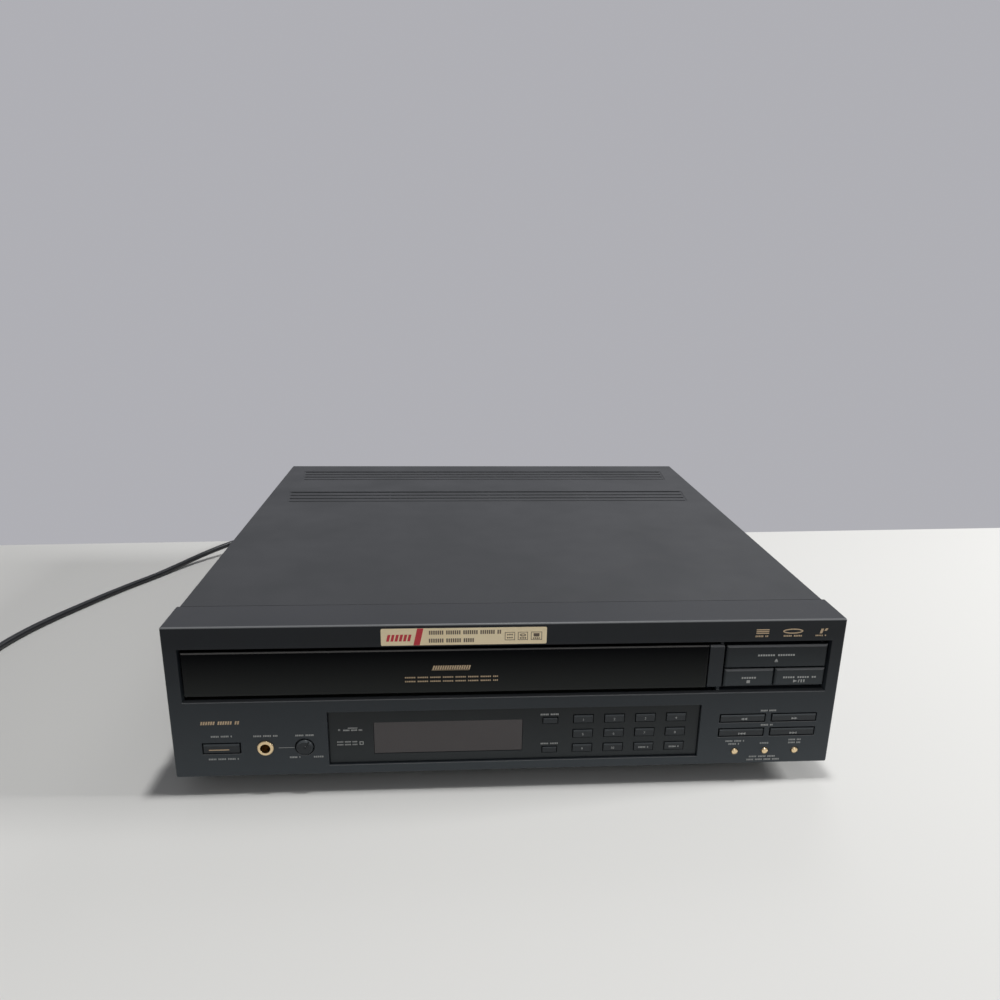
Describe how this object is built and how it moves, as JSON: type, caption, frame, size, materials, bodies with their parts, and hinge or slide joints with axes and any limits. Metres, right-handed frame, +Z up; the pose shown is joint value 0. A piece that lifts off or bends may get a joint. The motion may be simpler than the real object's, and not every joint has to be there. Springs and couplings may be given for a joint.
{
  "type": "laserdisc player",
  "caption": "Full-size disc player with a wide loading tray, vented steel bonnet, keys, display window, level knob, lifting spindle, tilting pickup and mains cord.",
  "frame": {"origin": "on the standing surface, under the middle of the case with its knob and sockets", "axes": "+X right as seen from the front, +Y towards the rear panel, +Z up; the front panel faces -Y"},
  "size_m": [0.7253, 0.475, 0.1161],
  "materials": {
    "painted_steel": "fine-textured satin charcoal paint",
    "plated_steel": "zinc-plated sheet",
    "screw_steel": "black-oxide screws",
    "panel_plastic": "satin black moulding",
    "tray_plastic": "gloss black",
    "key_plastic": "satin black keys",
    "smoked_window": "smoked acrylic",
    "gold_trim": "polished gold-coloured plating",
    "inner_plastic": "moulded black plastic",
    "board": "phenolic circuit board",
    "core_steel": "stacked laminations and winding",
    "socket_plastic": "socket block with plated shells",
    "deck_steel": "pressed and moulded mechanism deck",
    "rubber_parts": "black rubber",
    "gear_plastic": "acetal",
    "motor_steel": "plated cans",
    "die_cast": "die-cast frame",
    "rod_steel": "ground steel",
    "lens_glass": "coated lens",
    "cord_jacket": "black flexible jacket"
  },
  "bodies": {
    "root": {"chassis_pan": "plated_steel", "rear_panel": "painted_steel", "bonnet": "painted_steel", "bonnet_screws": "screw_steel", "feet": "panel_plastic", "front_fascia": "panel_plastic", "display_panel": "panel_plastic", "display_window": "smoked_window", "front_board": "board", "main_board": "board", "transformer": "core_steel", "rear_jacks": "socket_plastic", "headphone_jack": "gold_trim", "mech_deck": "deck_steel", "loading_motor": "motor_steel", "loading_belt": "rubber_parts", "cord_gland": "cord_jacket", "power_cord": "cord_jacket", "cord_coil": "cord_jacket", "cord_plug": "cord_jacket"},
    "tray": {"disc_tray": "inner_plastic", "tray_front": "tray_plastic"},
    "loading_gear": {"loading_gear": "gear_plastic"},
    "motor_pulley": {"motor_pulley": "gear_plastic"},
    "float": {"float_base": "die_cast", "spindle_motor": "motor_steel"},
    "turntable": {"turntable": "inner_plastic"},
    "clamp_arm": {"clamp_arm": "plated_steel"},
    "clamper": {"clamper": "inner_plastic"},
    "tilt": {"tilt_frame": "die_cast", "carriage_motor": "motor_steel"},
    "carriage": {"pickup_carriage": "inner_plastic"},
    "feed_screw": {"feed_screw": "rod_steel"},
    "lens": {"objective_lens": "lens_glass"},
    "knob": {"level_knob": "key_plastic"},
    "scan_back_key": {"scan_back_key": "key_plastic"},
    "scan_forward_key": {"scan_forward_key": "key_plastic"},
    "skip_back_key": {"skip_back_key": "key_plastic"},
    "skip_forward_key": {"skip_forward_key": "key_plastic"},
    "power_key": {"power_key": "key_plastic"},
    "open_close_key": {"open_close_key": "tray_plastic"},
    "stop_key": {"stop_key": "tray_plastic"},
    "play_key": {"play_key": "tray_plastic"},
    "round_key_1": {"round_key_1": "gold_trim"},
    "round_key_2": {"round_key_2": "gold_trim"},
    "round_key_3": {"round_key_3": "gold_trim"},
    "upper_display_key": {"upper_display_key": "key_plastic"},
    "lower_display_key": {"lower_display_key": "key_plastic"},
    "number_key_01": {"number_key_01": "key_plastic"},
    "number_key_02": {"number_key_02": "key_plastic"},
    "number_key_03": {"number_key_03": "key_plastic"},
    "number_key_04": {"number_key_04": "key_plastic"},
    "number_key_05": {"number_key_05": "key_plastic"},
    "number_key_06": {"number_key_06": "key_plastic"},
    "number_key_07": {"number_key_07": "key_plastic"},
    "number_key_08": {"number_key_08": "key_plastic"},
    "number_key_09": {"number_key_09": "key_plastic"},
    "number_key_10": {"number_key_10": "key_plastic"},
    "number_key_11": {"number_key_11": "key_plastic"},
    "number_key_12": {"number_key_12": "key_plastic"}
  },
  "joints": [
    {"name": "tray_slide", "type": "slide", "parent": "root", "child": "tray", "axis": [0, -1, 0], "range_m": [0, 0.28]},
    {"name": "level_knob_turn", "type": "hinge", "parent": "root", "child": "knob", "pos_m": [-0.1294, -0.20275, 0.0331], "axis": [0, 1, 0], "range_deg": [-186, 114]},
    {"name": "open_close_key_press", "type": "slide", "parent": "root", "child": "open_close_key", "axis": [0, 1, 0], "range_m": [0, 0.001], "stiffness_N_per_m": 600, "springref_m": -0.001},
    {"name": "stop_key_press", "type": "slide", "parent": "root", "child": "stop_key", "axis": [0, 1, 0], "range_m": [0, 0.001], "stiffness_N_per_m": 600, "springref_m": -0.001},
    {"name": "play_key_press", "type": "slide", "parent": "root", "child": "play_key", "axis": [0, 1, 0], "range_m": [0, 0.001], "stiffness_N_per_m": 600, "springref_m": -0.001},
    {"name": "scan_back_key_press", "type": "slide", "parent": "root", "child": "scan_back_key", "axis": [0, 1, 0], "range_m": [0, 0.001], "stiffness_N_per_m": 600, "springref_m": -0.001},
    {"name": "scan_forward_key_press", "type": "slide", "parent": "root", "child": "scan_forward_key", "axis": [0, 1, 0], "range_m": [0, 0.001], "stiffness_N_per_m": 600, "springref_m": -0.001},
    {"name": "skip_back_key_press", "type": "slide", "parent": "root", "child": "skip_back_key", "axis": [0, 1, 0], "range_m": [0, 0.001], "stiffness_N_per_m": 600, "springref_m": -0.001},
    {"name": "skip_forward_key_press", "type": "slide", "parent": "root", "child": "skip_forward_key", "axis": [0, 1, 0], "range_m": [0, 0.001], "stiffness_N_per_m": 600, "springref_m": -0.001},
    {"name": "power_key_press", "type": "slide", "parent": "root", "child": "power_key", "axis": [0, 1, 0], "range_m": [0, 0.001], "stiffness_N_per_m": 600, "springref_m": -0.001},
    {"name": "round_key_1_press", "type": "slide", "parent": "root", "child": "round_key_1", "axis": [0, 1, 0], "range_m": [0, 0.001], "stiffness_N_per_m": 600, "springref_m": -0.001},
    {"name": "round_key_2_press", "type": "slide", "parent": "root", "child": "round_key_2", "axis": [0, 1, 0], "range_m": [0, 0.001], "stiffness_N_per_m": 600, "springref_m": -0.001},
    {"name": "round_key_3_press", "type": "slide", "parent": "root", "child": "round_key_3", "axis": [0, 1, 0], "range_m": [0, 0.001], "stiffness_N_per_m": 600, "springref_m": -0.001},
    {"name": "float_lift", "type": "slide", "parent": "root", "child": "float", "axis": [0, 0, 1], "range_m": [0, 0.01]},
    {"name": "pickup_tilt", "type": "hinge", "parent": "float", "child": "tilt", "pos_m": [-0.038, -0.00955, 0.0596], "axis": [1, 0, 0], "range_deg": [-1.5, 1.5]},
    {"name": "carriage_slide", "type": "slide", "parent": "tilt", "child": "carriage", "axis": [0, 1, 0], "range_m": [0, 0.12]},
    {"name": "lens_focus", "type": "slide", "parent": "carriage", "child": "lens", "axis": [0, 0, 1], "range_m": [-0.0008, 0.0008], "stiffness_N_per_m": 100},
    {"name": "clamp_arm_lift", "type": "hinge", "parent": "root", "child": "clamp_arm", "pos_m": [-0.038, 0.17425, 0.106], "axis": [-1, 0, 0], "range_deg": [0, 1.5]},
    {"name": "turntable_spin", "type": "hinge", "parent": "float", "child": "turntable", "pos_m": [-0.038, -0.03075, 0.083], "axis": [0, 0, 1], "continuous": true},
    {"name": "clamper_spin", "type": "hinge", "parent": "clamp_arm", "child": "clamper", "pos_m": [-0.038, -0.03075, 0.101], "axis": [0, 0, 1], "continuous": true},
    {"name": "loading_gear_turn", "type": "hinge", "parent": "root", "child": "loading_gear", "pos_m": [-0.1745, -0.14275, 0.073], "axis": [0, 0, 1], "range_deg": [-2, 1340]},
    {"name": "motor_pulley_turn", "type": "hinge", "parent": "root", "child": "motor_pulley", "pos_m": [-0.138, -0.14075, 0.0705], "axis": [0, 0, 1], "range_deg": [-5, 4500]},
    {"name": "feed_screw_turn", "type": "hinge", "parent": "tilt", "child": "feed_screw", "pos_m": [0.004, -0.00275, 0.064], "axis": [0, 1, 0], "range_deg": [-5, 7210]},
    {"name": "upper_display_key_press", "type": "slide", "parent": "root", "child": "upper_display_key", "axis": [0, 1, 0], "range_m": [0, 0.001], "stiffness_N_per_m": 600, "springref_m": -0.001},
    {"name": "lower_display_key_press", "type": "slide", "parent": "root", "child": "lower_display_key", "axis": [0, 1, 0], "range_m": [0, 0.001], "stiffness_N_per_m": 600, "springref_m": -0.001},
    {"name": "number_key_01_press", "type": "slide", "parent": "root", "child": "number_key_01", "axis": [0, 1, 0], "range_m": [0, 0.001], "stiffness_N_per_m": 600, "springref_m": -0.001},
    {"name": "number_key_02_press", "type": "slide", "parent": "root", "child": "number_key_02", "axis": [0, 1, 0], "range_m": [0, 0.001], "stiffness_N_per_m": 600, "springref_m": -0.001},
    {"name": "number_key_03_press", "type": "slide", "parent": "root", "child": "number_key_03", "axis": [0, 1, 0], "range_m": [0, 0.001], "stiffness_N_per_m": 600, "springref_m": -0.001},
    {"name": "number_key_04_press", "type": "slide", "parent": "root", "child": "number_key_04", "axis": [0, 1, 0], "range_m": [0, 0.001], "stiffness_N_per_m": 600, "springref_m": -0.001},
    {"name": "number_key_05_press", "type": "slide", "parent": "root", "child": "number_key_05", "axis": [0, 1, 0], "range_m": [0, 0.001], "stiffness_N_per_m": 600, "springref_m": -0.001},
    {"name": "number_key_06_press", "type": "slide", "parent": "root", "child": "number_key_06", "axis": [0, 1, 0], "range_m": [0, 0.001], "stiffness_N_per_m": 600, "springref_m": -0.001},
    {"name": "number_key_07_press", "type": "slide", "parent": "root", "child": "number_key_07", "axis": [0, 1, 0], "range_m": [0, 0.001], "stiffness_N_per_m": 600, "springref_m": -0.001},
    {"name": "number_key_08_press", "type": "slide", "parent": "root", "child": "number_key_08", "axis": [0, 1, 0], "range_m": [0, 0.001], "stiffness_N_per_m": 600, "springref_m": -0.001},
    {"name": "number_key_09_press", "type": "slide", "parent": "root", "child": "number_key_09", "axis": [0, 1, 0], "range_m": [0, 0.001], "stiffness_N_per_m": 600, "springref_m": -0.001},
    {"name": "number_key_10_press", "type": "slide", "parent": "root", "child": "number_key_10", "axis": [0, 1, 0], "range_m": [0, 0.001], "stiffness_N_per_m": 600, "springref_m": -0.001},
    {"name": "number_key_11_press", "type": "slide", "parent": "root", "child": "number_key_11", "axis": [0, 1, 0], "range_m": [0, 0.001], "stiffness_N_per_m": 600, "springref_m": -0.001},
    {"name": "number_key_12_press", "type": "slide", "parent": "root", "child": "number_key_12", "axis": [0, 1, 0], "range_m": [0, 0.001], "stiffness_N_per_m": 600, "springref_m": -0.001}
  ],
  "couplings": [
    {"joint": "loading_gear_turn", "follows": "tray_slide", "rad_per_m": 83.333},
    {"joint": "motor_pulley_turn", "follows": "tray_slide", "rad_per_m": 279.76},
    {"joint": "feed_screw_turn", "follows": "carriage_slide", "rad_per_m": 1047.2},
    {"joint": "clamper_spin", "follows": "turntable_spin", "ratio": 1}
  ]
}
